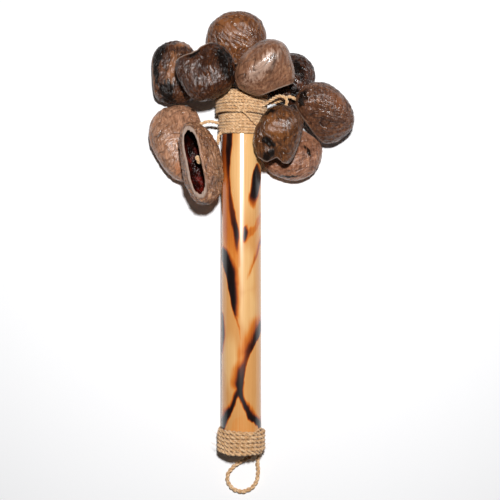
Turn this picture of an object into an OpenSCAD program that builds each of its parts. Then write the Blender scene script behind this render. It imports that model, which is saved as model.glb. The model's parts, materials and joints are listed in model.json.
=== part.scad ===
// Nut-shell shaker: a scorched bamboo culm with ten hollow nut shells tied to its head.
// Each shell has its keel ground open and hangs on a short twine tether with a stopper knot
// inside. A lashing holds the tethers at the head, and a second one holds a hanging loop at
// the tail. The culm lies along Y with its head at +Y, and its grip is centred on the origin.

/* [Culm] */
// Outer radius of the bamboo culm
culm_r = 15; // [14:0.25:15]
// Radius of the culm's natural bore
bore_r = 11; // [8:0.5:12]
// Distance from the grip centre to the head end of the culm
head_y = 139; // [137:1:140]
// Distance from the grip centre to the open tail end of the culm
tail_y = 128; // [126:1:140]
// Thickness of the natural joint that closes the head end
joint_wall = 7; // [4:1:20]

/* [Lashings] */
// Half-length of the bare grip between the two lashings
grip_half = 110.6; // [108:0.2:112]
// Diameter of the twine of the head and neck lashings
head_twine_d = 2.25; // [2:0.05:2.3]
// Number of turns side by side in the neck lashing
neck_turns = 6; // [4:1:7]
// Number of turns side by side in each layer of the head lashing
head_turns = 7; // [5:1:8]
// How far the head lashing stands past the end of the culm
head_overhang = 2; // [0:0.5:2]
// Diameter of the twine of the tail lashing
tail_twine_d = 3.2; // [2.5:0.1:3.4]
// Number of turns side by side in the tail lashing
tail_turns = 6; // [4:1:7]

/* [Shells] */
// Wall thickness of a nut shell
shell_wall = 2.2; // [1.5:0.1:2.4]
// Radius of the eye drilled through a shell for its tether
eye_r = 2.6; // [2.2:0.1:3]
// Roundness of a shell: 2 is an ellipsoid, more is boxier
shell_power = 2.3; // [2:0.1:2.5]
// How much a shell thins toward its keel
keel_taper = 0.22; // [0:0.02:0.3]

/* [Cords] */
// Diameter of a tether
tether_d = 2.4; // [1.8:0.1:2.6]
// Radius of the stopper knot on a tether
knot_r = 3.2; // [2.8:0.1:3.4]
// Diameter of the hanging loop's cord
loop_d = 3.2; // [2.4:0.2:3.2]

/* [Hidden] */

// Gap between a lashing and the culm that it grips, and between two lashings side by side
lash_gap = 0.02;
// How much a turn of twine is flattened into its neighbours, so that turns merge
turn_overlap = 1.12;
// Faces round and along the skin of a shell, outside and inside
skin_steps = [28, 11];
lining_steps = [20, 8];
// Sides of a cord and curve steps for each bend of its route
cord_sides = 8;
tether_steps = 2;
loop_steps = 2;
// Length of the drill that cuts an eye, well over the slanted wall
drill_length = 14;
// How far a tether runs into its knot
knot_bite = 1;

// Fields of a row in SHELLS
NAME = 0;    // plain name of the shell's place in the cluster
AT = 1;      // centre of the shell
TURN = 2;    // yaw of its long axis, pitch, and roll of its keel about that axis
SIZE = 3;    // length, width from back to keel, and thickness before grinding
GROUND = 4;  // height ground off the keel
LOBES = 5;   // how three-cornered the shell is
EGG = 6;     // how much it narrows toward its long axis's front end
SHARP = 7;   // how much more than the others it thins toward its keel
ROUTE = 8;   // tether from its exit at the lashing, up to where it turns to the eye
DRILL = 9;   // point that the eye is drilled from, toward the shell's centre
REACH = 10;  // height above the shell at which the tether turns to the eye
INSIDE = 11; // depth of the knot's centre below the middle of the wall

SHELLS = [
    ["crown", [-3.5, 180, -5.5], [180, 0, -6], [46, 46, 27], 6, 0.02, 0, 0,
        [[-5, 142.5, -13], [-6, 148, -13], [-26, 158, -8]], [-25, 168, -7], 5, 6.5],
    ["shoulder_left", [-26.4, 152.5, 26.4], [28, 4, 2], [42, 42, 26], 5, 0.04, -0.03, 0,
        [[-8, 142.5, 9], [-8, 150, 9], [-15, 158, 5]], [-23, 157, 13], 5, 6.5],
    ["shoulder_right", [17, 152.5, 29], [200, 6, -10], [42, 40, 26], 4, 0.06, 0.05, 0,
        [[7, 142.5, 9], [6, 147, 9], [12, 151, 5]], [18, 153, 13], 7, 6.5],
    ["left", [-50, 157.3, -4.8], [95, 5, -6], [48, 41, 26], 4, 0.04, 0.05, 0,
        [[-13, 142.5, 2], [-16, 146, 2]], [-25, 155, -7], 8, 6.5],
    ["low_left", [-45, 102.8, -6], [-72, -3, -14], [60, 44, 25], 4, 0.04, 0.05, 0,
        [[-18.7, 118, 3], [-25, 119, 6]], [-36, 113, 7], 7, 6.5],
    ["open", [-30.8, 88, 26.5], [-79, 0, 103], [61, 42, 27], 8.5, 0.04, -0.05, 0.14,
        [[-15.5, 109.4, 7], [-17, 107, 9]], [-19, 100, 12], 4, 20],
    ["back_right", [36.8, 153, -6.5], [60, 0, -14], [40, 38, 24], 6, 0.04, 0.05, 0,
        [[11, 142.5, -2], [12, 147, 1], [19, 148, 7]], [23, 151, 8], 5, 6.5],
    ["right", [62.2, 123.5, 7.3], [130, -22, -20], [49, 39, 26], 6, 0.04, -0.05, 0,
        [[19.8, 132, 5], [25, 133, 5], [31, 134, 10]], [45, 132, 10], 5, 7],
    ["collar", [27.3, 105.5, 25], [162, 0, -12], [34, 46, 25], 6, 0.04, -0.03, 0,
        [[16.5, 130, 13], [22, 133, 16], [28, 136, 21]], [34, 133, 23], 6, 6.5],
    ["low_right", [39.6, 97, -6.5], [-30, 0, -10], [44, 45, 24], 6, 0.04, 0.05, 0,
        [[17.7, 120, 7], [24, 121, 6], [22, 129, -2]], [27, 113, -9], 8, 6.5],
];

// The loop leaves the tail lashing twice, side by side, and lies level behind it
LOOP = [
    [10, -128.6, -13], [10, -133, -13.5], [3, -137, -15], [-7, -143, -16], [-12, -151, -16],
    [-8, -160, -16], [2, -163, -16], [11, -157, -16], [13, -148, -16], [12, -138, -15],
    [13, -133, -12], [13, -128.6, -10.4],
];

neck_length = neck_turns * head_twine_d;
head_start = grip_half + neck_length + lash_gap;
head_length = head_y + head_overhang - head_start;
tail_length = tail_y - grip_half;

// ---- rotations ----

function turn_x(a) = [[1, 0, 0], [0, cos(a), -sin(a)], [0, sin(a), cos(a)]];
function turn_y(a) = [[cos(a), 0, sin(a)], [0, 1, 0], [-sin(a), 0, cos(a)]];
function turn_z(a) = [[cos(a), -sin(a), 0], [sin(a), cos(a), 0], [0, 0, 1]];
function turn_all(t) = turn_z(t[0]) * turn_y(t[1]) * turn_x(t[2]);
function unit(v) = v / norm(v);

// ---- the skin of a shell, in its own frame: long axis X, keel at +Y, flat side Z ----

// Distance from a shell's centre to its skin along direction d
function skin_radius(s, d) =
    let (
        half = s[SIZE] / 2,
        thick = half.z * (1 - (keel_taper + s[SHARP]) * d.y),
        powers = pow(abs(d.x) / half.x, shell_power)
            + pow(abs(d.y) / half.y, shell_power)
            + pow(abs(d.z) / thick, shell_power),
        rim = d.x * d.x + d.y * d.y,
        lobes = s[LOBES] * cos(3 * atan2(d.y, d.x)) * rim
    )
    pow(powers, -1 / shell_power) * (1 + lobes - s[EGG] * d.x);

// Rings of skin points from pole to pole, each inset below the skin
function skin_points(s, steps, inset) = [
    for (row = [0 : steps[1]], column = [0 : (row == 0 || row == steps[1]) ? 0 : steps[0] - 1])
        let (
            around = 360 * column / steps[0],
            up = 180 * row / steps[1] - 90,
            half = s[SIZE] / 2,
            d = unit([half.x * cos(up) * cos(around), half.y * cos(up) * sin(around), half.z * sin(up)])
        )
        d * (skin_radius(s, d) - inset)
];

// Index of a skin point; the two poles are single points
function skin_index(steps, row, column) =
    row == 0 ? 0
    : row == steps[1] ? 1 + (steps[1] - 1) * steps[0]
    : 1 + (row - 1) * steps[0] + column % steps[0];

function skin_faces(steps) = concat(
    [for (c = [0 : steps[0] - 1])
        [skin_index(steps, 0, c), skin_index(steps, 1, c), skin_index(steps, 1, c + 1)]],
    [for (r = [1 : steps[1] - 2], c = [0 : steps[0] - 1])
        [skin_index(steps, r, c), skin_index(steps, r + 1, c), skin_index(steps, r + 1, c + 1)]],
    [for (r = [1 : steps[1] - 2], c = [0 : steps[0] - 1])
        [skin_index(steps, r, c), skin_index(steps, r + 1, c + 1), skin_index(steps, r, c + 1)]],
    [for (c = [0 : steps[0] - 1])
        [skin_index(steps, steps[1] - 1, c), skin_index(steps, steps[1], c), skin_index(steps, steps[1] - 1, c + 1)]]
);

module skin(s, steps, inset) {
    polyhedron(points = skin_points(s, steps, inset), faces = skin_faces(steps), convexity = 2);
}

// ---- where a tether meets its shell ----

// Direction from the shell's centre to where its eye is drilled
function eye_way(s) = unit(s[DRILL] - s[AT]);
// Distance from the shell's centre to its skin at the eye
function eye_radius(s) = skin_radius(s, eye_way(s) * turn_all(s[TURN]));
// Point on the eye's axis at a height above the skin, or below it when negative
function on_eye_axis(s, height) = s[AT] + eye_way(s) * (eye_radius(s) + height);
function knot_centre(s) = on_eye_axis(s, -shell_wall / 2 - s[INSIDE]);

// Whole route of a tether: exit, bends, eye, and into the knot
function tether_route(s) = concat(
    s[ROUTE],
    [on_eye_axis(s, s[REACH])],
    [on_eye_axis(s, -shell_wall / 2)],
    [on_eye_axis(s, -shell_wall / 2 - s[INSIDE] + knot_r - knot_bite)]
);

// ---- cords: one round tube swept along a smoothed route ----

function middle(a, b) = (a + b) / 2;
function bend(a, b, c, t) = (1 - t) * (1 - t) * a + 2 * t * (1 - t) * b + t * t * c;

// Smooth curve that starts and ends on the route's end points and rounds every corner
function smooth(p, steps) = concat(
    [p[0]],
    [for (i = [1 : len(p) - 2], k = [1 : steps])
        bend(
            i == 1 ? p[0] : middle(p[i - 1], p[i]),
            p[i],
            i == len(p) - 2 ? p[i + 1] : middle(p[i], p[i + 1]),
            k / steps
        )]
);

// Direction of the curve at each of its points
function ways(p) = [
    for (i = [0 : len(p) - 1]) unit(p[min(i + 1, len(p) - 1)] - p[max(i - 1, 0)])
];

// Side directions carried along the curve without twist
function sides(w, i, last) =
    let (flat = last - (last * w[i]) * w[i], here = unit(flat))
    i == len(w) - 1 ? [here] : concat([here], sides(w, i + 1, here));

function first_side(w) = abs(w.z) < 0.9 ? [0, 0, 1] : [1, 0, 0];

function tube_points(p, d) =
    let (w = ways(p), side = sides(w, 0, first_side(w[0])))
    [for (i = [0 : len(p) - 1], k = [0 : cord_sides - 1])
        let (a = 360 * k / cord_sides)
        p[i] + d / 2 * (cos(a) * side[i] + sin(a) * cross(w[i], side[i]))];

function tube_faces(rings) = concat(
    [[for (k = [0 : cord_sides - 1]) k]],
    [for (i = [0 : rings - 2], k = [0 : cord_sides - 1])
        let (a = i * cord_sides + k, b = i * cord_sides + (k + 1) % cord_sides)
        [a, a + cord_sides, b + cord_sides, b]],
    [[for (k = [cord_sides - 1 : -1 : 0]) (rings - 1) * cord_sides + k]]
);

module cord(route, d, steps) {
    path = smooth(route, steps);
    polyhedron(points = tube_points(path, d), faces = tube_faces(len(path)), convexity = 4);
}

// ---- pieces ----

// Turns a shape made along Z so that it runs along Y
module along_y() {
    rotate([-90, 0, 0]) children();
}

// Turns of twine side by side in a layer, from y = start
module twine_turns(start, length, turns, inner_r, d) {
    turn_d = min(d, length / turns) * turn_overlap;
    pitch = (length - turn_d) / (turns - 1);
    along_y() rotate_extrude($fn = 96) {
        translate([inner_r, start + turn_d / 4]) square([d / 2, length - turn_d / 2]);
        for (i = [0 : turns - 1])
            translate([inner_r + d / 2, start + turn_d / 2 + i * pitch]) circle(d = turn_d, $fn = 24);
    }
}

// Bamboo culm, open at the tail and closed by a natural joint at the head
module culm() {
    color("burlywood") along_y() difference() {
        translate([0, 0, -tail_y]) cylinder(h = tail_y + head_y, r = culm_r, $fn = 96);
        translate([0, 0, -tail_y - 1]) cylinder(h = tail_y + head_y - joint_wall + 1, r = bore_r, $fn = 96);
    }
}

// Single layer of twine next to the grip
module neck_lashing() {
    color("tan") twine_sleeve(grip_half, neck_length, neck_turns, head_twine_d, 1);
}

// Double layer of twine round the head, where the tethers are bound in
module head_lashing() {
    color("tan") twine_sleeve(head_start, head_length, head_turns, head_twine_d, 2);
}

// Single layer of thicker twine round the tail
module tail_lashing() {
    color("tan") twine_sleeve(-tail_y, tail_length, tail_turns, tail_twine_d, 1);
}

// Lashing of one or more layers, with a true bore that grips the culm
module twine_sleeve(start, length, turns, d, layers) {
    inner_r = culm_r + lash_gap;
    difference() {
        union() {
            for (layer = [0 : layers - 1])
                twine_turns(start, length, turns, inner_r + layer * d, d);
        }
        along_y() translate([0, 0, start - 1]) cylinder(h = length + 2, r = inner_r, $fn = 96);
    }
}

// Hanging loop that lies level behind the tail
module hanging_loop() {
    color("wheat") cord(LOOP, loop_d, loop_steps);
}

// Hollow nut shell with its keel ground off and an eye drilled for the tether
module shell(s) {
    keel = s[SIZE].y / 2 - s[GROUND];
    way = eye_way(s);
    color("saddlebrown") difference() {
        translate(s[AT]) rotate([s[TURN][2], s[TURN][1], s[TURN][0]]) difference() {
            skin(s, skin_steps, 0);
            skin(s, lining_steps, shell_wall);
            translate([-s[SIZE].x, keel, -s[SIZE].x]) cube([2 * s[SIZE].x, s[SIZE].y, 2 * s[SIZE].x]);
        }
        translate(on_eye_axis(s, -shell_wall / 2)) rotate([0, acos(way.z), atan2(way.y, way.x)])
            cylinder(h = drill_length, r = eye_r, center = true, $fn = 32);
    }
}

// Twine from the head lashing into the shell
module tether(s) {
    color("wheat") cord(tether_route(s), tether_d, tether_steps);
}

// Stopper knot that keeps the shell on its tether
module knot(s) {
    color("wheat") translate(knot_centre(s)) sphere(r = knot_r, $fn = 32);
}

culm();
neck_lashing();
head_lashing();
tail_lashing();
hanging_loop();
for (s = SHELLS) {
    shell(s);
    tether(s);
    knot(s);
}
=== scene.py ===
"""Looks of the nut-shell shaker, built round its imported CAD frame.

Everything is in metres in the CAD's own frame: the culm runs along Y with its head at +Y,
and the shaker lies on a floor below it, seen from straight above.
"""
import json
import math
import random

import bpy
import numpy as np
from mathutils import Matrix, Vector, noise


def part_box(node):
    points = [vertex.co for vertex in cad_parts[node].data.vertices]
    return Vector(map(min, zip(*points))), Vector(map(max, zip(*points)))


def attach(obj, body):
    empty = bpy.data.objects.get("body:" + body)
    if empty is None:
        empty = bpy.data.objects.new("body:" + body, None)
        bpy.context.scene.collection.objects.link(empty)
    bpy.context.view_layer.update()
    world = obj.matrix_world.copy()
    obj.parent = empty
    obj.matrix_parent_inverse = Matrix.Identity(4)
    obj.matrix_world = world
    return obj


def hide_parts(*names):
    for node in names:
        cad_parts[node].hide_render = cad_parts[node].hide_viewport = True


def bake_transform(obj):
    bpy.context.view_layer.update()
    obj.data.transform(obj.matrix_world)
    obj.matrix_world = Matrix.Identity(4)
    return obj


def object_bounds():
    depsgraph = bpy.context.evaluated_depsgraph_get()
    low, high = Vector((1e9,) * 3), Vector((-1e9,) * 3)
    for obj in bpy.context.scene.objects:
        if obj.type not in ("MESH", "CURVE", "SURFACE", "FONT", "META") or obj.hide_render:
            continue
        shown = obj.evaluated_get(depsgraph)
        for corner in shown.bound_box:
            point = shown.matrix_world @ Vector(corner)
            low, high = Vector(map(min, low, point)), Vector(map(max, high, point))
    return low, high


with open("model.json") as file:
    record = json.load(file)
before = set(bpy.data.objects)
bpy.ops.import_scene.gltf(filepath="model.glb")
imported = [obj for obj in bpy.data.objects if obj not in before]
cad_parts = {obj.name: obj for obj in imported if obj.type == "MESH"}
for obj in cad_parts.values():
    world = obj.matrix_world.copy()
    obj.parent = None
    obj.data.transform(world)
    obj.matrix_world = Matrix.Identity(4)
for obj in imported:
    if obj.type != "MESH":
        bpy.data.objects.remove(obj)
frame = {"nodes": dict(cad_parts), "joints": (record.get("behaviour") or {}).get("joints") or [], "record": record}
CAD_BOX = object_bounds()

MM = 0.001

# ---- sizes of the look, in metres ----

HEAD_TWINE_D = 2.25 * MM
TAIL_TWINE_D = 3.2 * MM
TETHER_D = 2.8 * MM
LOOP_D = 3.4 * MM
FIBRE_D = 0.16 * MM
# In a lashing, how thick its twine is laid and how far each layer sits above the one under it,
# both in twine diameters
TWINE_SWELL = 1.06
LAYER_RISE = 0.66
# Size of a shell's remeshed faces, and how thick its wall is in the CAD
SHELL_VOXEL = 0.55 * MM
SHELL_WALL = 2.2 * MM
# Length of the culm's faces along it, and how many there are round it
CULM_STEP = 0.65 * MM
CULM_AROUND = 160
# How much a twisted cord's strands waver, as a share of their thickness
LOOSENESS = 0.06
# Where the camera is, where the key light is and points to, its size and its power in watts
CAMERA_PLACE = (0.0065, 0.0229, 0.75)
KEY_PLACE = (0.035, 0.165, 0.8)
KEY_AIM = (0, 0.05, 0)
KEY_SIZE = (0.04, 0.04)
KEY_POWER = 8.3
ROOM_STRENGTH = 0.03

# Places that the tethers leave the head lashing from and bend at, as in the CAD, in millimetres
TETHER_BENDS = {
    "crown": [(-5, 142.5, -13), (-6, 148, -13), (-26, 158, -8)],
    "shoulder_left": [(-8, 142.5, 9), (-8, 150, 9), (-15, 158, 5)],
    "shoulder_right": [(7, 142.5, 9), (6, 147, 9), (12, 151, 5)],
    "left": [(-13, 142.5, 2), (-16, 146, 2)],
    "low_left": [(-18.7, 118, 3), (-25, 119, 6)],
    "open": [(-15.5, 109.4, 7), (-17, 107, 9)],
    "back_right": [(11, 142.5, -2), (12, 147, 1), (19, 148, 7)],
    "right": [(19.8, 132, 5), (25, 133, 5), (31, 134, 10)],
    "collar": [(16.5, 130, 13), (22, 133, 16), (28, 136, 21)],
    "low_right": [(17.7, 120, 7), (24, 121, 6), (22, 129, -2)],
}
# Height above each shell, in millimetres, at which its tether turns to the eye
TETHER_REACH = {
    "crown": 5,
    "shoulder_left": 5,
    "shoulder_right": 7,
    "left": 8,
    "low_left": 7,
    "open": 4,
    "back_right": 5,
    "right": 5,
    "collar": 6,
    "low_right": 8,
}
# Route of the hanging loop, as in the CAD, in millimetres
LOOP_ROUTE = [
    (10, -128.6, -13), (10, -133, -13.5), (3, -137, -15), (-7, -143, -16), (-12, -151, -16),
    (-8, -160, -16), (2, -163, -16), (11, -157, -16), (13, -148, -16), (12, -138, -15),
    (13, -133, -12), (13, -128.6, -10.4),
]


# ---- curves ----

def unit(v):
    """v at length 1."""
    return v / np.linalg.norm(v)


def smoothstep(value, low, high):
    """0 below low, 1 above high, smooth between."""
    share = np.clip((value - low) / (high - low), 0, 1)
    return share * share * (3 - 2 * share)


def smooth_route(points, steps=10):
    """Curve through a route's ends that rounds every corner, as the CAD's tubes do."""
    p = np.array(points, float)
    middles = (p[1:] + p[:-1]) / 2
    middles[0], middles[-1] = p[0], p[-1]
    out = [p[0]]
    for i in range(1, len(p) - 1):
        for k in range(1, steps + 1):
            t = k / steps
            out.append((1 - t) ** 2 * middles[i - 1] + 2 * t * (1 - t) * p[i] + t * t * middles[i])
    return np.array(out)


def smooth_points(points, steps=6):
    """Curve through all of a few points, with any number of values each."""
    p = np.array(points, float)
    p = np.vstack([2 * p[0] - p[1], p, 2 * p[-1] - p[-2]])
    out = []
    for a, b, c, d in zip(p, p[1:], p[2:], p[3:]):
        for k in range(steps):
            t = k / steps
            out.append(b + t / 2 * (c - a + t * (2 * a - 5 * b + 4 * c - d + t * (3 * b - a - 3 * c + d))))
    out.append(p[-2])
    return np.array(out)


def distances(points):
    """How far along a polyline each of its points is."""
    return np.concatenate([[0], np.cumsum(np.linalg.norm(np.diff(points, axis=0), axis=1))])


def evenly(points, spacing):
    """The same curve with its points a spacing apart."""
    along = distances(points)
    count = max(3, int(round(along[-1] / spacing)) + 1)
    at = np.linspace(0, along[-1], count)
    return np.stack([np.interp(at, along, points[:, i]) for i in range(3)], axis=1)


def carried_sides(path):
    """Tangents of a path and two sideways directions that are carried along it without twist."""
    ways = np.gradient(path, axis=0)
    ways /= np.linalg.norm(ways, axis=1)[:, None]
    side = np.cross(ways[0], (0, 0, 1) if abs(ways[0][2]) < 0.9 else (1, 0, 0))
    sides = []
    for way in ways:
        side = unit(side - (side @ way) * way)
        sides.append(side)
    sides = np.array(sides)
    return ways, sides, np.cross(ways, sides)


# ---- meshes ----

def mesh_object(name, points, faces, material, smooth=True):
    """A new object from points and faces."""
    mesh = bpy.data.meshes.new(name)
    mesh.from_pydata([tuple(p) for p in points], [], faces)
    mesh.polygons.foreach_set("use_smooth", [smooth] * len(mesh.polygons))
    mesh.materials.append(material)
    made = bpy.data.objects.new(name, mesh)
    bpy.context.scene.collection.objects.link(made)
    return made


def store(mesh_obj, name, values):
    """Keeps one number for each point of a mesh."""
    layer = mesh_obj.data.attributes.new(name, "FLOAT", "POINT")
    layer.data.foreach_set("value", np.asarray(values, np.float32))


def ring_faces(rings, sides):
    """Faces between rings of points, each ring with that many sides, and over both ends."""
    faces = []
    for start in range(0, (rings - 1) * sides, sides):
        for k in range(sides):
            beside = (k + 1) % sides
            faces.append((start + k, start + beside, start + sides + beside, start + sides + k))
    faces.append(tuple(range(sides - 1, -1, -1)))
    faces.append(tuple(range((rings - 1) * sides, rings * sides)))
    return faces


def tube(path, radii, sides):
    """Points and faces of a closed round tube, with a radius for each point of its path."""
    _, across, up = carried_sides(path)
    turn = np.arange(sides) * 2 * math.pi / sides
    ring = np.cos(turn)[None, :, None] * across[:, None] + np.sin(turn)[None, :, None] * up[:, None]
    points = (path[:, None] + ring * radii[:, None, None]).reshape(-1, 3)
    return points, ring_faces(len(path), sides)


def joined(parts):
    """Points and faces of several (points, faces) as one."""
    points, faces, start = [], [], 0
    for p, f in parts:
        points.append(p)
        faces += [tuple(i + start for i in face) for face in f]
        start += len(p)
    return np.concatenate(points), faces


def twisted(path, diameter, strands, pitch, seed):
    """Tubes of the strands of a twisted cord along a path, each a little fatter than would touch."""
    draw = random.Random(seed)
    at = distances(path)
    _, across, up = carried_sides(path)
    thin = math.sin(math.pi / strands)
    strand_r = diameter / 2 * thin / (1 + thin) * 1.06
    offset = diameter / 2 - strand_r
    parts = []
    for k in range(strands):
        shift = draw.uniform(0, 100)
        wobble = np.array([noise.noise(Vector((s / diameter * 0.35, shift, k))) for s in at])
        turn = at / pitch * 2 * math.pi + 2 * math.pi * k / strands + 0.5 * wobble
        out = offset * (1 + LOOSENESS * 2 * wobble)
        line = path + (np.cos(turn) * out)[:, None] * across + (np.sin(turn) * out)[:, None] * up
        parts.append(tube(line, strand_r * (1 + LOOSENESS * wobble), sides=8))
    return parts


# ---- materials ----

class Shader:
    """Builds one node material round a Principled shader."""

    def __init__(self, name):
        self.material = bpy.data.materials.new(name)
        self.material.use_nodes = True
        self.tree = self.material.node_tree
        self.principled = self.tree.nodes["Principled BSDF"]

    def node(self, kind, inputs=None, **settings):
        """A node with its settings and its inputs, each a value or another node's output."""
        made = self.tree.nodes.new(kind)
        for key, value in settings.items():
            setattr(made, key, value)
        for key, value in (inputs or {}).items():
            self.put(made.inputs[key], value)
        return made

    def put(self, socket, value):
        """Sets a socket to a value or links an output to it."""
        if isinstance(value, bpy.types.NodeSocket):
            self.tree.links.new(value, socket)
        else:
            socket.default_value = value

    def finish_with(self, **inputs):
        """Sets the Principled shader's sockets, whose names are given with underscores."""
        for key, value in inputs.items():
            self.put(self.principled.inputs[key.replace("_", " ")], value)
        return self.material

    def attribute(self, name):
        """A number stored on the mesh."""
        return self.node("ShaderNodeAttribute", attribute_name=name).outputs["Fac"]

    def place(self, scale=(1, 1, 1), turn=(0, 0, 0)):
        """Object coordinates, turned and scaled."""
        coordinates = self.node("ShaderNodeTexCoord").outputs["Object"]
        inputs = {"Vector": coordinates, "Rotation": turn, "Scale": scale}
        return self.node("ShaderNodeMapping", inputs).outputs["Vector"]

    def noise(self, vector, scale, detail=4.0, roughness=0.55, distortion=0.0):
        """Noise from 0 to 1."""
        inputs = {
            "Vector": vector,
            "Scale": scale,
            "Detail": detail,
            "Roughness": roughness,
            "Distortion": distortion,
        }
        return self.node("ShaderNodeTexNoise", inputs).outputs["Fac"]

    def ramp(self, value, stops):
        """Colour from a number, by (position, colour) stops."""
        made = self.node("ShaderNodeValToRGB", {"Fac": value})
        elements = made.color_ramp.elements
        while len(elements) < len(stops):
            elements.new(0.5)
        for element, (position, colour) in zip(elements, stops):
            element.position = position
            element.color = (*colour, 1)
        return made.outputs["Color"]

    def level(self, value, low, high, bottom=0.0, top=1.0):
        """A number's share between low and high, as a number between bottom and top."""
        inputs = {"Value": value, "From Min": low, "From Max": high, "To Min": bottom, "To Max": top}
        made = self.node("ShaderNodeMapRange", inputs, interpolation_type="SMOOTHSTEP")
        return made.outputs["Result"]

    def mix(self, share, first, second):
        """Mixes two colours, of which second comes in by share."""
        made = self.node("ShaderNodeMix", data_type="RGBA")
        self.put(made.inputs[0], share)
        self.put(made.inputs[6], first)
        self.put(made.inputs[7], second)
        return made.outputs[2]

    def mix_numbers(self, share, first, second):
        """Mixes two numbers, of which second comes in by share."""
        made = self.node("ShaderNodeMix", data_type="FLOAT")
        self.put(made.inputs[0], share)
        self.put(made.inputs[2], first)
        self.put(made.inputs[3], second)
        return made.outputs[0]

    def maths(self, operation, first, second):
        """One step of arithmetic."""
        made = self.node("ShaderNodeMath", operation=operation)
        self.put(made.inputs[0], first)
        self.put(made.inputs[1], second)
        return made.outputs["Value"]

    def bump(self, height, distance):
        """A bumped normal. distance is in metres."""
        inputs = {"Height": height, "Distance": distance, "Strength": 1.0}
        return self.node("ShaderNodeBump", inputs).outputs["Normal"]


def rgb(red, green, blue):
    """Linear colour from display values of 0 to 255."""
    def linear(c):
        c /= 255
        return c / 12.92 if c <= 0.04045 else ((c + 0.055) / 1.055) ** 2.4
    return (linear(red), linear(green), linear(blue))


def rgba(red, green, blue):
    """Linear colour with full alpha."""
    return (*rgb(red, green, blue), 1)


def twine_material(name, pale, dark):
    """Plant-fibre twine: matt, fibrous along its strands, with darker flecks and painted shade in the gaps between
    a lashing's turns.
    """
    s = Shader(name)
    fine = s.noise(s.place(), 2600, detail=3)
    patchy = s.noise(s.place(), 420, detail=3)
    fleck = s.level(s.noise(s.place(), 1100, detail=2), 0.54, 0.68)
    colour = s.mix(s.level(patchy, 0.35, 0.65), (*pale, 1), (*dark, 1))
    colour = s.mix(s.level(fine, 0.4, 0.65, 0.0, 0.5), colour, rgba(176, 128, 82))
    colour = s.mix(s.maths("MULTIPLY", fleck, 0.7), colour, rgba(104, 66, 38))
    # Painted shade: twine lying below a lashing's outer surface, between its turns, is darkened
    colour = s.mix(s.maths("MULTIPLY", s.attribute("depth"), 0.85), colour, rgba(84, 50, 28))
    return s.finish_with(
        Base_Color=colour,
        Roughness=0.85,
        Specular_IOR_Level=0.25,
        Sheen_Weight=0.2,
        Sheen_Roughness=0.5,
        Normal=s.bump(fine, 0.25 * MM),
    )


def bamboo_material():
    """Scorched bamboo under a glossy skin. The mesh carries how burnt and how pale each point is."""
    s = Shader("scorched_bamboo")
    fibre = s.noise(s.place(scale=(1, 0.02, 1)), 900, detail=4)
    blotch = s.noise(s.place(scale=(1, 0.3, 1)), 90, detail=3)
    tan = s.mix(blotch, rgba(200, 138, 76), rgba(220, 166, 104))
    tan = s.mix(s.attribute("pale"), tan, rgba(226, 180, 120))
    tan = s.mix(s.level(fibre, 0.3, 0.7, 0.0, 0.25), tan, rgba(186, 122, 62))
    burn = s.maths("ADD", s.attribute("burn"), s.level(fibre, 0.2, 0.8, -0.06, 0.06))
    scorch = s.ramp(burn, [
        (0.0, rgb(216, 146, 72)),
        (0.25, rgb(206, 120, 46)),
        (0.45, rgb(164, 76, 26)),
        (0.65, rgb(92, 38, 18)),
        (0.85, rgb(38, 16, 12)),
        (1.0, rgb(18, 9, 9)),
    ])
    colour = s.mix(s.level(burn, 0.02, 0.3), tan, scorch)
    rough = s.level(burn, 0.3, 0.9, 0.22, 0.36)
    return s.finish_with(
        Base_Color=colour,
        Roughness=rough,
        Specular_IOR_Level=0.3,
        Coat_Weight=0.75,
        Coat_Roughness=0.22,
        Coat_IOR=1.5,
        Normal=s.bump(fibre, 0.03 * MM),
    )


def bamboo_end_material():
    """Cut or inner bamboo: pale, matt and dotted with fibre ends."""
    s = Shader("cut_bamboo")
    dots = s.noise(s.place(), 1500, detail=2)
    stops = [(0.35, rgb(150, 108, 66)), (0.55, rgb(206, 168, 118)), (0.8, rgb(222, 190, 142))]
    colour = s.ramp(dots, stops)
    return s.finish_with(Base_Color=colour, Roughness=0.8, Normal=s.bump(dots, 0.1 * MM))


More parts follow.
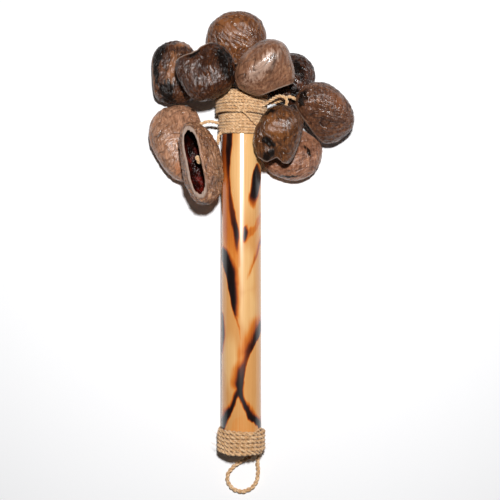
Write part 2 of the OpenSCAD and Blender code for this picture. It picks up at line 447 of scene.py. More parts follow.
def shell_material(name, look):
    """Nut shell: wrinkled waxy skin, scorched patches, a ground grey rim and a glossy dark lining, with painted
    shade and dirt in the furrows of its wrinkles, painted shade in a dent or hollow, painted light on the lining's
    lip and, on one shell, a painted highlight.
    """
    s = Shader(name)
    turn = (0, 0, -math.radians(look["grain_angle"] - 90))
    streak = s.noise(s.place(scale=(1, 0.2, 1), turn=turn), 620, detail=5, roughness=0.6, distortion=0.7)
    fine = s.noise(s.place(scale=(1, 0.35, 1), turn=turn), 1800, detail=3, roughness=0.6)
    broad = s.noise(s.place(), 75, detail=3)
    skin = s.ramp(streak, [(0.3, look["dark"]), (0.5, look["skin"]), (0.68, look["light"])])
    skin = s.mix(s.level(broad, 0.4, 0.7, 0.0, 0.5), skin, (*look["dark"], 1))
    skin = s.mix(s.level(fine, 0.55, 0.75, 0.0, 0.35), skin, rgba(60, 38, 28))
    # Tone marks add a warmer colour; on shoulder_right that colour is a painted highlight along its ridge
    warm_tone_and_highlight = s.maths("ADD", s.attribute("warm_tone_and_highlight"), s.level(streak, 0.25, 0.75, -0.35, 0.35))
    skin = s.mix(s.level(warm_tone_and_highlight, 0.3, 0.9, 0.0, 0.8), skin, (*look["warm_tone_and_highlight"], 1))
    # Painted shade and dirt: the furrows of the wrinkles are darkened toward near-black brown
    skin = s.mix(s.maths("MULTIPLY", s.attribute("crease_shade_and_dirt"), 0.85), skin, rgba(36, 21, 15))
    # Near-black marks: scorch, and painted shade in a dent or hollow
    ragged = s.noise(s.place(scale=(1, 0.5, 1), turn=turn), 330, detail=6, roughness=0.7)
    patch = s.maths("ADD", s.attribute("patch"), s.level(ragged, 0.25, 0.75, -0.5, 0.5))
    skin = s.mix(s.level(patch, 0.25, 0.9, 0.0, 0.96), skin, rgba(14, 9, 7))
    rim = s.mix(fine, rgba(136, 112, 98), rgba(176, 152, 136))
    wet = s.noise(s.place(), 130, detail=3)
    lining = s.ramp(wet, [(0.35, rgb(14, 4, 3)), (0.5, rgb(42, 9, 5)), (0.75, rgb(120, 24, 9))])
    # Painted light: the lining is painted a lighter orange where it meets the rim, where light catches the edge
    lip = s.mix(wet, rgba(140, 66, 28), rgba(184, 104, 52))
    colour = s.mix(s.attribute("rim"), skin, rim)
    colour = s.mix(s.attribute("lining"), colour, lining)
    colour = s.mix(s.attribute("lip"), colour, lip)
    gloss = s.level(s.noise(s.place(), 150, detail=4), 0.35, 0.65, 0.17, 0.36)
    skin_rough = s.maths("ADD", gloss, s.maths("MULTIPLY", s.attribute("rim"), 0.3))
    rough = s.mix_numbers(s.attribute("lining"), skin_rough, s.level(wet, 0.3, 0.7, 0.12, 0.28))
    dull = s.maths("MAXIMUM", s.attribute("lining"), s.attribute("patch"))
    height = s.maths("ADD", s.maths("MULTIPLY", streak, 0.5), s.maths("MULTIPLY", fine, 0.15))
    return s.finish_with(
        Base_Color=colour,
        Roughness=rough,
        Specular_IOR_Level=s.mix_numbers(dull, 0.55, 0.2),
        Normal=s.bump(height, look["bump"] * MM),
    )


def floor_material():
    """Plain pale paper."""
    s = Shader("pale_floor")
    return s.finish_with(Base_Color=rgba(248, 248, 249), Roughness=0.9, Specular_IOR_Level=0.1)


# ---- camera and light ----

def add_camera():
    """Camera straight above the middle of the shaker, with its head at the top of the picture."""
    data = bpy.data.cameras.new("camera")
    data.lens = 72
    data.sensor_width = 36
    camera = bpy.data.objects.new("camera", data)
    camera.location = CAMERA_PLACE
    bpy.context.scene.collection.objects.link(camera)
    bpy.context.scene.camera = camera


def add_key_light():
    """Softbox high above the shells."""
    data = bpy.data.lights.new("key", "AREA")
    data.shape = "RECTANGLE"
    data.size, data.size_y = KEY_SIZE
    data.energy = KEY_POWER
    light = bpy.data.objects.new("key", data)
    light.location = KEY_PLACE
    light.rotation_euler = (Vector(KEY_AIM) - Vector(KEY_PLACE)).to_track_quat("-Z", "Y").to_euler()
    bpy.context.scene.collection.objects.link(light)


def add_room():
    """Dim, slightly cool light from all round."""
    world = bpy.data.worlds.new("room")
    world.use_nodes = True
    background = world.node_tree.nodes["Background"]
    background.inputs["Color"].default_value = (0.95, 0.97, 1, 1)
    background.inputs["Strength"].default_value = ROOM_STRENGTH
    bpy.context.scene.world = world
    bpy.context.scene.view_settings.view_transform = "Standard"


def add_floor():
    """Pale floor just under the shaker, 4 m across."""
    half = 2.0
    z = CAD_BOX[0][2] - 0.1 * MM
    corners = [(-half, -half, z), (half, -half, z), (half, half, z), (-half, half, z)]
    floor = mesh_object("floor", corners, [(0, 1, 2, 3)], floor_material(), smooth=False)


# ---- cords ----

def joint_place(name):
    """Where a joint is, in metres."""
    return np.array(next(j["pos_m"] for j in frame["joints"] if j["name"] == name), float)


def tuck(exit_at):
    """Points under the head lashing, for a tether that leaves past the culm's end."""
    head_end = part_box("culm")[1].y
    if exit_at[1] < head_end:
        return []
    radial = np.array([exit_at[0], 0, exit_at[2]])
    reach = np.linalg.norm(radial)
    radial /= reach
    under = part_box("head_lashing")[1].x - 3.3 * MM
    return [
        radial * under + (0, head_end - 1.5 * MM, 0),
        radial * (under + reach) / 2 + (0, head_end + 2.2 * MM, 0),
    ]


def tether_route(name):
    """Points of a tether from inside the lashing to its knot."""
    exit_at = joint_place("swing_" + name)
    eye = joint_place("rock_" + name)
    low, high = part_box("knot_" + name)
    knot = np.array((low + high) / 2)
    turn_in = eye + unit(eye - knot) * (TETHER_REACH[name] * MM + SHELL_WALL / 2)
    bends = [np.array(p) * MM for p in TETHER_BENDS[name]]
    first = bends[1] if len(bends) > 1 else turn_in
    start = tuck(exit_at) or [exit_at - unit(first - exit_at) * 3 * MM]
    return smooth_route([*start, *bends, turn_in, eye, knot])


def add_knot(name, material):
    """Overhand knot with a short tail, drawn tight into a ball."""
    low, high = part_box("knot_" + name)
    centre = np.array((low + high) / 2)
    size = (high.x - low.x) / 2
    t = np.linspace(0, 2 * math.pi, 49)[:-3]
    loops = np.stack([
        np.sin(t) + 2 * np.sin(2 * t),
        np.cos(t) - 2 * np.cos(2 * t),
        -1.15 * np.sin(3 * t),
    ], axis=1)
    line = evenly(centre + loops * size * 0.25, 0.4 * MM)
    parts = twisted(line, TETHER_D * 0.85, 2, 5 * MM, seed="knot " + name)
    knot = mesh_object("stopper_knot_" + name, *joined(parts), material)
    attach(knot, "tether_" + name)
    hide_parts("knot_" + name)
    return knot


def add_tethers(material):
    """Twisted tethers from the lashing to the stopper knots."""
    for name in TETHER_BENDS:
        knot = add_knot(name, material)
        line = evenly(tether_route(name), 0.5 * MM)
        tether = mesh_object(
            "twine_tether_" + name,
            *joined(twisted(line, TETHER_D, 2, 6 * MM, seed=name)),
            material,
        )
        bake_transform(tether)
        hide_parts("tether_" + name)


def add_loop(material):
    """Hanging loop, with both ends tucked into the tail lashing."""
    points = [np.array(p) * MM for p in LOOP_ROUTE]
    inside = np.array((0, 7, 0)) * MM
    route = smooth_route([points[0] + inside, *points, points[-1] + inside])
    line = evenly(route, 0.6 * MM)
    loop = mesh_object(
        "twine_hanging_loop",
        *joined(twisted(line, LOOP_D, 2, 7.4 * MM, seed="loop")),
        material,
    )
    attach(loop, "handle")
    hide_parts("hanging_loop")


# ---- lashings ----

def winding(start, end, turns, radius, thickness, seed, slope):
    """Slightly uneven helix of twine round the culm, with both ends tucked under their neighbours.

    slope tilts the turns.
    """
    draw = random.Random(seed)
    shift = draw.uniform(0, 50)
    phase = draw.uniform(math.pi, 2 * math.pi)
    steps = int((turns + 1) * 90)
    points = []
    for i in range(steps + 1):
        lap = i / steps * (turns + 1)
        turn = phase + lap * 2 * math.pi
        share = min(1.0, max(0.0, (lap - 0.5) / turns))
        tucked = max(0.0, 0.5 - lap) + max(0.0, lap - turns - 0.5)
        wave = noise.noise(Vector((turn * 0.9, shift, 0)))
        drift = noise.noise(Vector((math.cos(turn) * 1.3, math.sin(turn) * 1.3, shift + lap * 0.35)))
        r = radius + 0.25 * MM * wave - 1.6 * thickness * tucked
        y = start + (end - start) * share + 0.6 * MM * drift - slope * math.cos(turn) * radius
        points.append((math.cos(turn) * r, y, math.sin(turn) * r))
    return evenly(np.array(points), 0.7 * MM)


def fibres(seed, count, start, end, radius):
    """Loose fibres that stand out of a lashing."""
    draw = random.Random(seed)
    parts = []
    for _ in range(count):
        turn = draw.uniform(0, 2 * math.pi)
        y = draw.uniform(start, end)
        length = draw.uniform(3, 9) * MM
        heading = draw.uniform(-1.2, 1.2)
        lift = draw.uniform(0.05, 0.5)
        along = []
        for k in range(9):
            s = k / 8 * length
            a = turn + math.sin(heading + s / length) * s / radius
            r = radius - 0.3 * MM + s * lift * (0.4 + s / length)
            z = max(math.sin(a) * r, CAD_BOX[0][2] + FIBRE_D)
            along.append((math.cos(a) * r, y + math.cos(heading) * s * 0.7, z))
        thick = FIBRE_D / 2 * draw.uniform(0.7, 1.5)
        parts.append(tube(np.array(along), np.linspace(thick, thick * 0.4, 9), sides=4))
    return parts


def crossing(start, end, radius, diameter, seed, bow=0.0):
    """Loose strand that crosses a lashing between two places (x, y), on a cylinder of that radius."""
    points = []
    for k in range(25):
        share = k / 24
        x = start[0] + (end[0] - start[0]) * share
        y = start[1] + (end[1] - start[1]) * share + bow * math.sin(math.pi * share)
        r = radius + 0.5 * diameter * math.sin(math.pi * share) ** 0.5
        points.append((x, y, math.sqrt(max(r * r - x * x, 0))))
    return twisted(evenly(np.array(points), 0.5 * MM), diameter, 2, diameter * 4, seed)


def add_lashing(name, layers, turns, diameter, plies, material, slope=0.0, hairs=10, drop=0.0, extra=()):
    """Lashing of twisted twine, layer on layer, in place of its CAD sleeve.

    slope tilts the turns, drop lets them start lower, and extra has more tubes to join in.
    """
    low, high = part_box(name)
    outer = high.x
    parts = []
    for layer in range(layers):
        radius = outer - diameter * (TWINE_SWELL / 2 + LAYER_RISE * (layers - 1 - layer))
        inset = diameter * 0.2 + slope * radius
        start, end = low.y + inset - drop, high.y - inset
        seed = f"{name} {layer}"
        pitch = diameter * (1 + 0.8 * plies)
        line = winding(start, end, turns - 1 - 0.3 * layer, radius, diameter, seed, slope)
        parts += twisted(line, diameter * TWINE_SWELL, plies, pitch, seed)
    parts += fibres(name, hairs, low.y, high.y, outer)
    parts += extra
    lashing = mesh_object("twine_" + name, *joined(parts), material)
    # Painted shade: how far each point lies below the lashing's outer surface, kept as depth, darkens the twine in
    # the gaps between turns
    below = outer - np.array([math.hypot(v.co.x, v.co.z) for v in lashing.data.vertices])
    store(lashing, "depth", smoothstep(below, 0.35 * diameter, 0.95 * diameter))
    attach(lashing, "handle")
    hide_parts(name)


def add_lashings(material):
    """The three lashings, with the strands that cross them."""
    head_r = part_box("head_lashing")[1].x - 0.4 * MM
    strap = crossing((-6 * MM, 131 * MM), (12 * MM, 114 * MM), head_r, 1.9 * MM, "strap", bow=0.6 * MM)
    end = crossing((1.5 * MM, 127 * MM), (8 * MM, 137 * MM), head_r, 1.3 * MM, "end")
    add_lashing("head_lashing", 3, 8.4, HEAD_TWINE_D, 3, material, slope=0.03, hairs=30, extra=strap + end)
    add_lashing("neck_lashing", 2, 8, HEAD_TWINE_D, 3, material, drop=1.4 * MM)
    tail_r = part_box("tail_lashing")[1].x
    tie = crossing((5 * MM, -114 * MM), (14.5 * MM, -109 * MM), tail_r - 0.6 * MM, 1.8 * MM, "tie")
    add_lashing("tail_lashing", 1, 6, TAIL_TWINE_D, 2, material, slope=0.03, hairs=18, extra=tie)


# ---- culm ----

# Scorch strokes on the culm's upper side. Each is a list of points (x, y, half-width, how scorched)
# and the widths of its brown edge on the left and on the right of its course, in millimetres.
SCORCH = [
    ([(-12.4, 112, 3, 0.58), (-12.4, 92, 3, 0.5), (-12, 76, 2.6, 0.34), (-11, 55, 3.2, 0.34)], 2, 2),
    ([(-11, 55, 3.2, 0.34), (-9, 38, 4, 0.34), (-7, 26, 5, 0.26), (-5, 12, 4, 0.2)], 3, 3),
    ([(-8.6, 112, 1.7, 0.95), (-9, 98, 1.6, 0.95), (-9.3, 86, 1, 0.85), (-9.2, 76, 0.5, 0.7)], 1.2, 5),
    ([(-9.2, 76, 0.5, 0.7), (-8.4, 65, 0.7, 0.66), (-7.2, 54, 1.3, 0.7), (-5, 42, 1.7, 0.82)], 1.2, 5),
    ([(-5, 42, 1.7, 0.82), (-3.4, 35, 1.5, 0.9), (-3, 28, 0.9, 0.7), (-3, 21, 0.2, 0.4)], 1.5, 4),
    ([(12, 86, 0.5, 0.8), (11.4, 80, 2.2, 1), (10.8, 72, 2.8, 1), (9.4, 64, 2.3, 0.95)], 2, 1.6),
    ([(9.4, 64, 2.3, 0.9), (8.7, 60, 2.2, 0.55), (8.4, 55, 1.6, 0.25)], 3, 2.4),
    ([(2.6, 39, 0.8, 0.7), (3.1, 34, 1.3, 0.88), (2.3, 29, 0.5, 0.4)], 3.5, 1.2),
    ([(3.4, 31, 1.6, 0.3), (7.5, 36, 1.9, 0.32), (11.5, 42, 1.5, 0.3), (14.6, 49, 1.1, 0.34)], 2, 2),
    ([(-15.2, 22.5, 1.2, 0.95), (-12.2, 17, 2.6, 1), (-9, 8, 2.9, 1), (-7.4, -2, 2.3, 1)], 6, 0.9),
    ([(-7.4, -2, 2.3, 1), (-6.5, -10, 1.9, 1), (-5.5, -18, 1.3, 0.95), (-4.6, -25, 0.4, 0.8)], 5, 0.9),
    ([(-4.6, -25, 0.3, 0.6), (-2.6, -31, 0.2, 0.5), (-0.9, -38, 0.1, 0.4), (-0.5, -50, 0, 0.2)], 1.4, 1.4),
    ([(15, 31, 0.5, 0.6), (12, 21, 0.4, 0.5), (8.5, 11, 0.3, 0.36), (4.6, 2, 0.2, 0.16)], 2, 4),
    ([(-14.9, -25, 1.2, 0.85), (-14.9, -38, 1.8, 0.95), (-15.1, -52, 0.8, 0.7)], 2.4, 1),
    ([(15.4, -34, 1.4, 0.95), (12.2, -41, 1.2, 0.92), (8.8, -47, 1.1, 0.86), (5.8, -53, 1.1, 0.75)], 1, 13),
    ([(5.8, -53, 1.1, 0.75), (3.4, -60, 1.2, 0.6), (0.9, -66, 1.9, 0.75), (-0.7, -75, 2.2, 0.95)], 1.1, 9),
    ([(-0.7, -75, 2.2, 0.95), (-0.6, -82, 1.8, 1), (0.8, -88, 1.2, 0.95), (3.6, -94, 1.1, 0.92)], 2, 2),
    ([(3.6, -94, 1.1, 0.92), (7.2, -100.5, 1.3, 0.95), (11.6, -105, 1.7, 1), (14.8, -108, 2, 1)], 6, 1.4),
    ([(-1.2, -78, 0.8, 0.8), (-3.6, -85, 0.8, 0.9), (-6, -91.5, 0.9, 0.95), (-9.4, -98, 1.1, 1)], 1.4, 4),
    ([(-9.4, -98, 1.2, 1), (-12.6, -103.5, 2, 1), (-15.2, -109, 2.6, 1)], 1.4, 6),
    ([(1, -98, 2, 0.08), (1, -103, 5, 0.1), (1, -108, 9, 0.14)], 2, 2),
]
# Pale, unscorched places: centre (x, y) and half-sizes, in millimetres
PALE = [(4, 82, 13, 40), (4, 8, 8, 22), (5, -20, 8, 20), (-8, -60, 6, 24)]


def scorched(x, y):
    """How scorched the culm is at places (x, y), in millimetres."""
    burn = np.zeros(len(x))
    for points, left, right in SCORCH:
        line = smooth_points(points)
        for (ax, ay, aw, a_burn), (bx, by, bw, b_burn) in zip(line, line[1:]):
            dx, dy = bx - ax, by - ay
            share = np.clip(((x - ax) * dx + (y - ay) * dy) / (dx * dx + dy * dy), 0, 1)
            away = np.hypot(x - ax - share * dx, y - ay - share * dy) - (aw + (bw - aw) * share)
            on_left = smoothstep((dx * (y - ay) - dy * (x - ax)) / math.hypot(dx, dy), -0.5, 0.5)
            edge = right + (left - right) * on_left
            strength = a_burn + (b_burn - a_burn) * share
            core = 1 - smoothstep(away, -0.7, 0.5 + 0.25 * edge)
            glow = 1 - smoothstep(away, -0.3, edge)
            burn = np.maximum(burn, strength * (0.45 * core + 0.55 * glow))
    return burn


def pale_places(x, y):
    """How pale the culm is at places (x, y), in millimetres."""
    pale = np.zeros(len(x))
    for cx, cy, rx, ry in PALE:
        pale = np.maximum(pale, 1 - smoothstep(np.hypot((x - cx) / rx, (y - cy) / ry), 0.5, 1.1))
    return pale


def culm_swell(turn, y):
    """How far the culm's skin stands off its cylinder at an angle and a place along it, in metres."""
    broad = noise.noise(Vector((math.cos(turn), math.sin(turn), y / (30 * MM))))
    fine = noise.noise(Vector((math.cos(turn) * 6, math.sin(turn) * 6, y / (60 * MM))))
    return (0.10 * broad + 0.05 * fine - 0.08) * MM


def culm_surface():
    """Points and faces of the culm, open at the tail, and which of its points lie on the skin."""
    low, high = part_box("culm")
    outer_r = high.x
    bore_r = next(m for m in frame["record"]["mounts"] if m["kind"] == "bore")["dims"]["r_mm"] * MM
    edge = 0.5 * MM
    count = int((high.y - low.y) / CULM_STEP)
    inside = [(bore_r, high.y - 7 * MM), (bore_r, (low.y + high.y) / 2), (bore_r, low.y + 0.6 * MM)]
    tail = [(bore_r + edge, low.y), (outer_r - edge, low.y)]
    skin = [(outer_r, low.y + edge + (high.y - low.y - 2 * edge) * i / count) for i in range(count + 1)]
    head = [(outer_r - edge, high.y), (outer_r / 2, high.y)]
    rings = [(inside + tail, False), (skin, True), (head, False)]
    points, on_skin = [], []
    for profile, is_skin in rings:
        for r, y in profile:
            for turn in np.arange(CULM_AROUND) * 2 * math.pi / CULM_AROUND:
                out = r + culm_swell(turn, y) if is_skin else r
                points.append((math.cos(turn) * out, y, math.sin(turn) * out))
                on_skin.append(is_skin)
    # These rings run the other way round than a tube's, so their faces are turned over
    faces = [face[::-1] for face in ring_faces(len(points) // CULM_AROUND, CULM_AROUND)]
    return np.array(points), faces, on_skin


def store_scorch(culm, points):
    """Keeps on the culm how scorched and how pale each point is. Its underside has the marks mirrored."""
    at = points / MM
    ragged = np.array([
        (
            noise.fractal(Vector((x / 5, y / 14, z / 5)), 0.9, 2.1, 4),
            noise.fractal(Vector((x / 5 + 40, y / 16, z / 5)), 0.9, 2.1, 4),
        )
        for x, y, z in at
    ])
    x = at[:, 0] + 0.6 * ragged[:, 0]
    y = at[:, 1] + 2 * ragged[:, 1]
    front = smoothstep(points[:, 2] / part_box("culm")[1].x, -0.25, 0.05)
    behind = scorched(-x * 0.9 + 2, 14 - y)
    store(culm, "burn", front * scorched(x, y) + (1 - front) * behind)
    store(culm, "pale", front * pale_places(x, y) + (1 - front) * pale_places(-x, 20 - y))


def add_culm():
    """Scorched, lacquered culm: open at the tail, with its natural bore."""
    points, faces, on_skin = culm_surface()
    culm = mesh_object("bamboo_culm", points, faces, bamboo_material())
    culm.data.materials.append(bamboo_end_material())
    for face in culm.data.polygons:
        if not all(on_skin[v] for v in face.vertices):
            face.material_index = 1
    store_scorch(culm, points)
    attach(culm, "handle")
    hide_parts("culm")


# ---- shells ----

def marks(burnt_and_shaded=(), warm_tone_and_highlight=(), skinned=(), dents=()):
    """Marks on a shell: each is a place (x, y) from its centre as seen from above, a half-length, a
    half-width and the direction of its length in degrees, in millimetres. A dent adds its depth.
    Scorch marks are near-black, and are painted shade where one lies in a dent or hollow; tone
    marks add a warmer colour, which is a painted highlight on shoulder_right.

    The rim keeps its skin where it is skinned.
    """
    return dict(burnt_and_shaded=burnt_and_shaded, warm_tone_and_highlight=warm_tone_and_highlight, skinned=skinned, dents=dents)


# Look of each shell: skin, light, dark and warmer tone colour, direction of its grain as seen from
# above in degrees, how wrinkled its shape is, how deep its fine grain is in millimetres, and its
# marks. On shoulder_right the tone colour and its tone mark are a painted highlight.
# A pinch is the share of its width by which the shell's mouth is narrower.
SHELL_LOOKS = {
    "crown": dict(
        skin=rgb(114, 68, 38), light=rgb(148, 98, 58), dark=rgb(64, 34, 18), warm_tone_and_highlight=rgb(134, 82, 44),
        grain_angle=118, wrinkle=0.9, bump=1.2,
        marks=marks(burnt_and_shaded=[(-19, 12, 3, 2, 40)], warm_tone_and_highlight=[(-4, 8, 12, 9, 0)]),
    ),
    "shoulder_left": dict(
        skin=rgb(68, 36, 18), light=rgb(102, 60, 34), dark=rgb(38, 18, 10), warm_tone_and_highlight=rgb(88, 48, 24),
        grain_angle=98, wrinkle=1.2, bump=1.4,
        marks=marks(
            # The second scorch mark, in the dent at the upper left, is painted shade
            burnt_and_shaded=[(14, 5, 13, 5, 106), (-8.5, 12.5, 6, 2.8, 28)],
            dents=[(-8.5, 12.5, 5, 2.6, 28, 1.4), (18, -9, 8, 6, 100, -1.6)],
        ),
    ),
    "shoulder_right": dict(
        # Its pale pinkish tone colour is a painted highlight, laid along the ridge by the tone mark below
        skin=rgb(134, 92, 68), light=rgb(162, 120, 92), dark=rgb(90, 58, 42), warm_tone_and_highlight=rgb(180, 150, 132),
        grain_angle=40, wrinkle=0.25, bump=0.8,
        marks=marks(
            # Painted highlight along the diagonal ridge
            warm_tone_and_highlight=[(-1, -1, 15, 5, 43)],
            dents=[(1, 2, 18, 7, 43, -2.2), (-18, -9, 7, 6, 60, -2), (10, -10, 8, 5, 30, 1.0)],
        ),
    ),
    "left": dict(
        skin=rgb(82, 48, 30), light=rgb(124, 80, 52), dark=rgb(42, 22, 14), warm_tone_and_highlight=rgb(150, 100, 66),
        grain_angle=75, wrinkle=1.1, bump=1.4,
        marks=marks(
            burnt_and_shaded=[(-13.5, 13, 11, 4, 62), (-16, -1, 9, 2, 92), (-8, -16, 10, 6, 112)],
            warm_tone_and_highlight=[(-3, 2, 14, 5, 80), (5, 20, 8, 3, 0)],
            dents=[(-4, 2, 12, 5, 82, 1.6)],
        ),
    ),
    "low_left": dict(
        skin=rgb(168, 120, 92), light=rgb(202, 154, 122), dark=rgb(116, 80, 56), warm_tone_and_highlight=rgb(186, 122, 84),
        grain_angle=58, wrinkle=0.8, bump=1.2,
        marks=marks(burnt_and_shaded=[(12, 26, 5, 1.6, 10)], warm_tone_and_highlight=[(2, -18, 8, 3, 60)]),
    ),
    "open": dict(
        skin=rgb(156, 108, 78), light=rgb(208, 158, 120), dark=rgb(76, 46, 30), warm_tone_and_highlight=rgb(188, 118, 76),
        grain_angle=25, wrinkle=1.5, bump=2.4, pinch=0.22,
        marks=marks(warm_tone_and_highlight=[(10, 24, 8, 4, 100)], skinned=[(6, -2, 24, 4.5, 100)]),
    ),
    "back_right": dict(
        skin=rgb(62, 32, 18), light=rgb(104, 58, 34), dark=rgb(34, 16, 9), warm_tone_and_highlight=rgb(82, 42, 22),
        grain_angle=118, wrinkle=1.1, bump=1.5,
        marks=marks(burnt_and_shaded=[(7, 4, 9, 4, 112), (4, -12, 5, 4, 0)]),
    ),
    "right": dict(
        skin=rgb(100, 62, 42), light=rgb(142, 98, 70), dark=rgb(56, 34, 24), warm_tone_and_highlight=rgb(128, 78, 48),
        grain_angle=168, wrinkle=1.1, bump=1.5,
        marks=marks(burnt_and_shaded=[(-17, 9, 7, 3.4, 75)], warm_tone_and_highlight=[(8, 8, 9, 5, 130)]),
    ),
    "collar": dict(
        skin=rgb(94, 56, 30), light=rgb(134, 86, 50), dark=rgb(50, 28, 16), warm_tone_and_highlight=rgb(126, 78, 42),
        grain_angle=125, wrinkle=0.7, bump=1.3,
        marks=marks(
            # The second scorch mark, in the hollow at the lower left, is painted shade
            burnt_and_shaded=[(-8, -6, 6, 2, 150), (-6.5, -14, 5, 3.2, 25), (-8, 15, 6, 1.6, 20)],
            warm_tone_and_highlight=[(-3, 4, 11, 7, 110)],
            dents=[(-1, -17, 8, 3, 62, 3.0), (-9, -17, 7, 5, 60, -3), (-13.5, 2, 16, 1.6, 92, 1.2)],
        ),
    ),
    "low_right": dict(
        skin=rgb(154, 104, 78), light=rgb(190, 138, 106), dark=rgb(98, 60, 42), warm_tone_and_highlight=rgb(170, 108, 74),
        grain_angle=10, wrinkle=0.8, bump=1.3,
        marks=marks(burnt_and_shaded=[(11, 0, 5, 1.6, 120), (-2, -20, 8, 0.9, 4), (-3, 17, 9, 3, 150)]),
    ),
}


def remeshed(node):
    """Points and faces of a finely remeshed copy of a CAD node."""
    copy = bpy.data.objects.new("remeshing", frame["nodes"][node].data.copy())
    bpy.context.scene.collection.objects.link(copy)
    modifier = copy.modifiers.new("remesh", "REMESH")
    modifier.mode = "VOXEL"
    modifier.voxel_size = SHELL_VOXEL
    evaluated = copy.evaluated_get(bpy.context.evaluated_depsgraph_get())
    mesh = evaluated.to_mesh()
    points = np.empty(len(mesh.vertices) * 3)
    mesh.vertices.foreach_get("co", points)
    faces = [tuple(face.vertices) for face in mesh.polygons]
    evaluated.to_mesh_clear()
    bpy.data.objects.remove(copy)
    return points.reshape(-1, 3), faces


def face_edges(faces):
    """Pairs of neighbouring points, each once."""
    pairs = {(min(a, b), max(a, b)) for face in faces for a, b in zip(face, face[1:] + face[:1])}
    return np.array(sorted(pairs))


def relaxed(points, edges, share, rounds):
    """Points smoothed toward their neighbours without shrinking, each by its share."""
    count = len(points)
    degree = np.bincount(edges.ravel(), minlength=count)[:, None]
    for k in range(2 * rounds):
        total = np.stack([
            np.bincount(edges[:, 0], points[edges[:, 1], i], count)
            + np.bincount(edges[:, 1], points[edges[:, 0], i], count)
            for i in range(3)
        ], axis=1)
        push = 0.5 if k % 2 == 0 else -0.51
        points = points + push * share[:, None] * (total / degree - points)
    return points


def point_normals(points, faces):
    """Unit normals at points."""
    mesh = bpy.data.meshes.new("normals")
    mesh.from_pydata([tuple(p) for p in points], [], faces)
    normals = np.empty(len(points) * 3)
    mesh.vertices.foreach_get("normal", normals)
    bpy.data.meshes.remove(mesh)
    return normals.reshape(-1, 3)


def ground_plane(node):
    """Normal and offset of the flat face that a shell is ground to: its largest level area."""
    areas = {}
    for face in frame["nodes"][node].data.polygons:
        key = tuple(round(c, 2) for c in face.normal)
        area, normal, offset = areas.get(key, (0, face.normal.copy(), face.normal.dot(face.center)))
        areas[key] = (area + face.area, normal, offset)
    _, normal, offset = max(areas.values(), key=lambda entry: entry[0])
    return np.array(normal), offset


def valley(value, width):
    """1 where a noise crosses zero and 0 away from there, so it draws long unbroken lines."""
    return math.exp(-(value / width) ** 2)


def shell_surface(name, points, centre, look):
    """Height of the wrinkled skin at each point, in millimetres, and how much each point lies in a furrow, from 0
    to 1, which gets painted shade and dirt.
    """
    shift = random.Random(name).uniform(0, 100)
    grain = math.radians(look["grain_angle"])
    wrinkle = look["wrinkle"]
    g = np.array((math.cos(grain), math.sin(grain), 0))
    h = np.array((-math.sin(grain), math.cos(grain), 0))
    local = (points - centre) / MM
    height, crease_shade_and_dirt = np.zeros(len(points)), np.zeros(len(points))
    for i, (a, c, z) in enumerate(zip(local @ g, local @ h, local[:, 2])):
        bend = noise.noise(Vector((a / 16, c / 16, shift + z / 16)))
        a, c = a + 5 * bend, c + 7 * bend
        swell = noise.fractal(Vector((a / 15, c / 10, z / 10 + 2 * shift)), 0.9, 2.1, 3)
        where = noise.noise(Vector((a / 11 + 50, c / 7, shift + z / 8)))
        deep = valley(noise.noise(Vector((a / 22, c / 5.5, shift + z / 6))), 0.055)
        mid = valley(noise.noise(Vector((a / 15, c / 2.6, z / 3 - shift))), 0.14)
        thin = noise.noise(Vector((a / 4.5, c / 1.6, z / 2 + shift)))
        deep *= min(1.0, max(0.0, 0.5 + 1.6 * where))
        mid *= min(1.0, max(0.0, 0.65 - 0.9 * where))
        # How much the point lies in a furrow of the wrinkles, for painted shade and dirt there
        crease_shade_and_dirt[i] = min(1.0, 0.85 * deep + 0.5 * mid)
        height[i] = wrinkle * (0.55 * swell - 0.6 * deep - 0.42 * mid + 0.45 * thin)
    return height, crease_shade_and_dirt


def marked(points, centre, places, spread=0.55):
    """How much each point lies in any of the marked places, from 0 to 1, with ragged edges."""
    share = np.zeros(len(points))
    if not places:
        return share
    local = (points - centre) / MM
    stray = np.array([
        (noise.noise(Vector((x / 4, y / 4, z / 4))), noise.noise(Vector((x / 4 + 30, y / 4, z / 4))))
        for x, y, z in local
    ])
    for x, y, half_length, half_width, angle in places:
        turn = math.radians(angle)
        dx = local[:, 0] + 1.6 * stray[:, 0] - x
        dy = local[:, 1] + 1.6 * stray[:, 1] - y
        along = (dx * math.cos(turn) + dy * math.sin(turn)) / half_length
        across = (dy * math.cos(turn) - dx * math.sin(turn)) / half_width
        share = np.maximum(share, 1 - smoothstep(np.hypot(along, across), 1 - spread, 1 + spread))
    return share * smoothstep(local[:, 2], -6, 0)


def dented(points, centre, dents):
    """Points pushed toward the shell's centre at its dents, both walls alike."""
    for *place, depth in dents:
        inward = centre - points
        inward /= np.linalg.norm(inward, axis=1)[:, None]
        points = points + inward * (depth * MM * marked(points, centre, [place], 0.8))[:, None]
    return points


def pinched(points, keel, to_rim, share):
    """Points with the mouth of their shell drawn narrower by a share of its width."""
    mouth = points[to_rim < 1 * MM]
    middle = mouth.mean(axis=0)
    lengthwise = np.linalg.svd(mouth - middle, full_matrices=False)[2][0]
    across = unit(np.cross(keel, lengthwise))
    away = (points - middle) @ across
    close = (1 - smoothstep(to_rim, 1 * MM, 6 * MM)) * (1 - smoothstep(np.abs(away), 7 * MM, 12 * MM))
    return points - (share * close * away)[:, None] * across


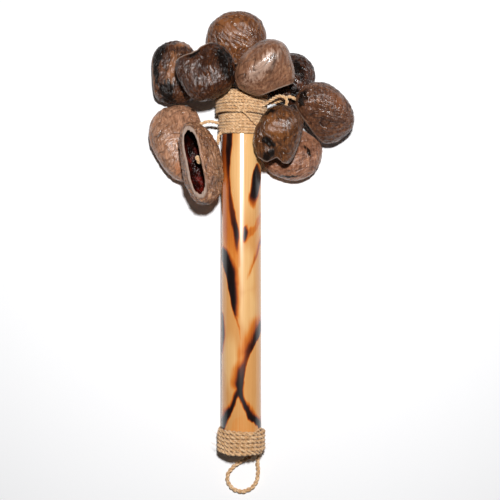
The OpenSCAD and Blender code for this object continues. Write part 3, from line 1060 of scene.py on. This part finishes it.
def add_shell(name):
    """One wrinkled nut shell in place of its CAD solid."""
    node = "shell_" + name
    look = SHELL_LOOKS[name]
    points, faces = remeshed(node)
    edges = face_edges(faces)
    keel, offset = ground_plane(node)
    low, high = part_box(node)
    centre = np.array((low + high) / 2)
    eye = joint_place("rock_" + name)

    to_rim = offset - points @ keel
    to_eye = np.linalg.norm(points - eye, axis=1)
    loose = smoothstep(to_rim, 0.6 * MM, 2 * MM) * smoothstep(to_eye, 3 * MM, 6 * MM)
    points = relaxed(points, edges, 0.02 + 0.98 * loose, 30)
    normals = point_normals(points, faces)

    outward = np.einsum("ij,ij->i", normals, points - centre) / np.linalg.norm(points - centre, axis=1)
    lining = 1 - smoothstep(outward, -0.3, 0.05)
    rim = (1 - smoothstep(to_rim, 0.3 * MM, 1.1 * MM)) * smoothstep(normals @ keel, 0.3, 0.7)
    rim *= 1 - marked(points, centre, look["marks"]["skinned"])
    skin = (1 - lining) * (1 - rim)
    height, crease_shade_and_dirt = shell_surface(name, points, centre, look)
    free = (1 - lining) * smoothstep(to_rim, 0.3 * MM, 3 * MM) * smoothstep(to_eye, 2.8 * MM, 5 * MM)
    # Scorch, and painted shade in a dent or hollow
    burnt_and_shaded = marked(points, centre, look["marks"]["burnt_and_shaded"])
    # Tone marks: a warmer colour, and on shoulder_right a painted highlight
    warm_tone_and_highlight = marked(points, centre, look["marks"]["warm_tone_and_highlight"], 0.9)
    points = points + normals * (height * free * MM)[:, None]
    points = dented(points, centre, look["marks"]["dents"])
    points = pinched(points, keel, to_rim, look.get("pinch", 0))

    shell = mesh_object("nut_shell_" + name, points, faces, shell_material("nut_" + name, look))
    # Painted shade and dirt in the furrows of the wrinkles, for the material
    store(shell, "crease_shade_and_dirt", crease_shade_and_dirt * free)
    store(shell, "lining", lining * (1 - rim))
    store(shell, "rim", rim)
    # Painted light on the lining next to the rim
    store(shell, "lip", lining * (1 - rim) * (1 - smoothstep(to_rim, 1.2 * MM, 2.2 * MM)))
    store(shell, "patch", burnt_and_shaded * skin)
    store(shell, "warm_tone_and_highlight", warm_tone_and_highlight * skin)
    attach(shell, node)
    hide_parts(node)


def main():
    """Makes the whole scene."""
    add_camera()
    add_key_light()
    add_room()
    tether_twine = twine_material("tether_twine", rgb(246, 212, 170), rgb(212, 166, 116))
    lashing_twine = twine_material("lashing_twine", rgb(240, 204, 160), rgb(204, 158, 108))
    add_tethers(tether_twine)
    add_loop(tether_twine)
    add_lashings(lashing_twine)
    add_culm()
    for name in SHELL_LOOKS:
        add_shell(name)
    add_floor()


main()
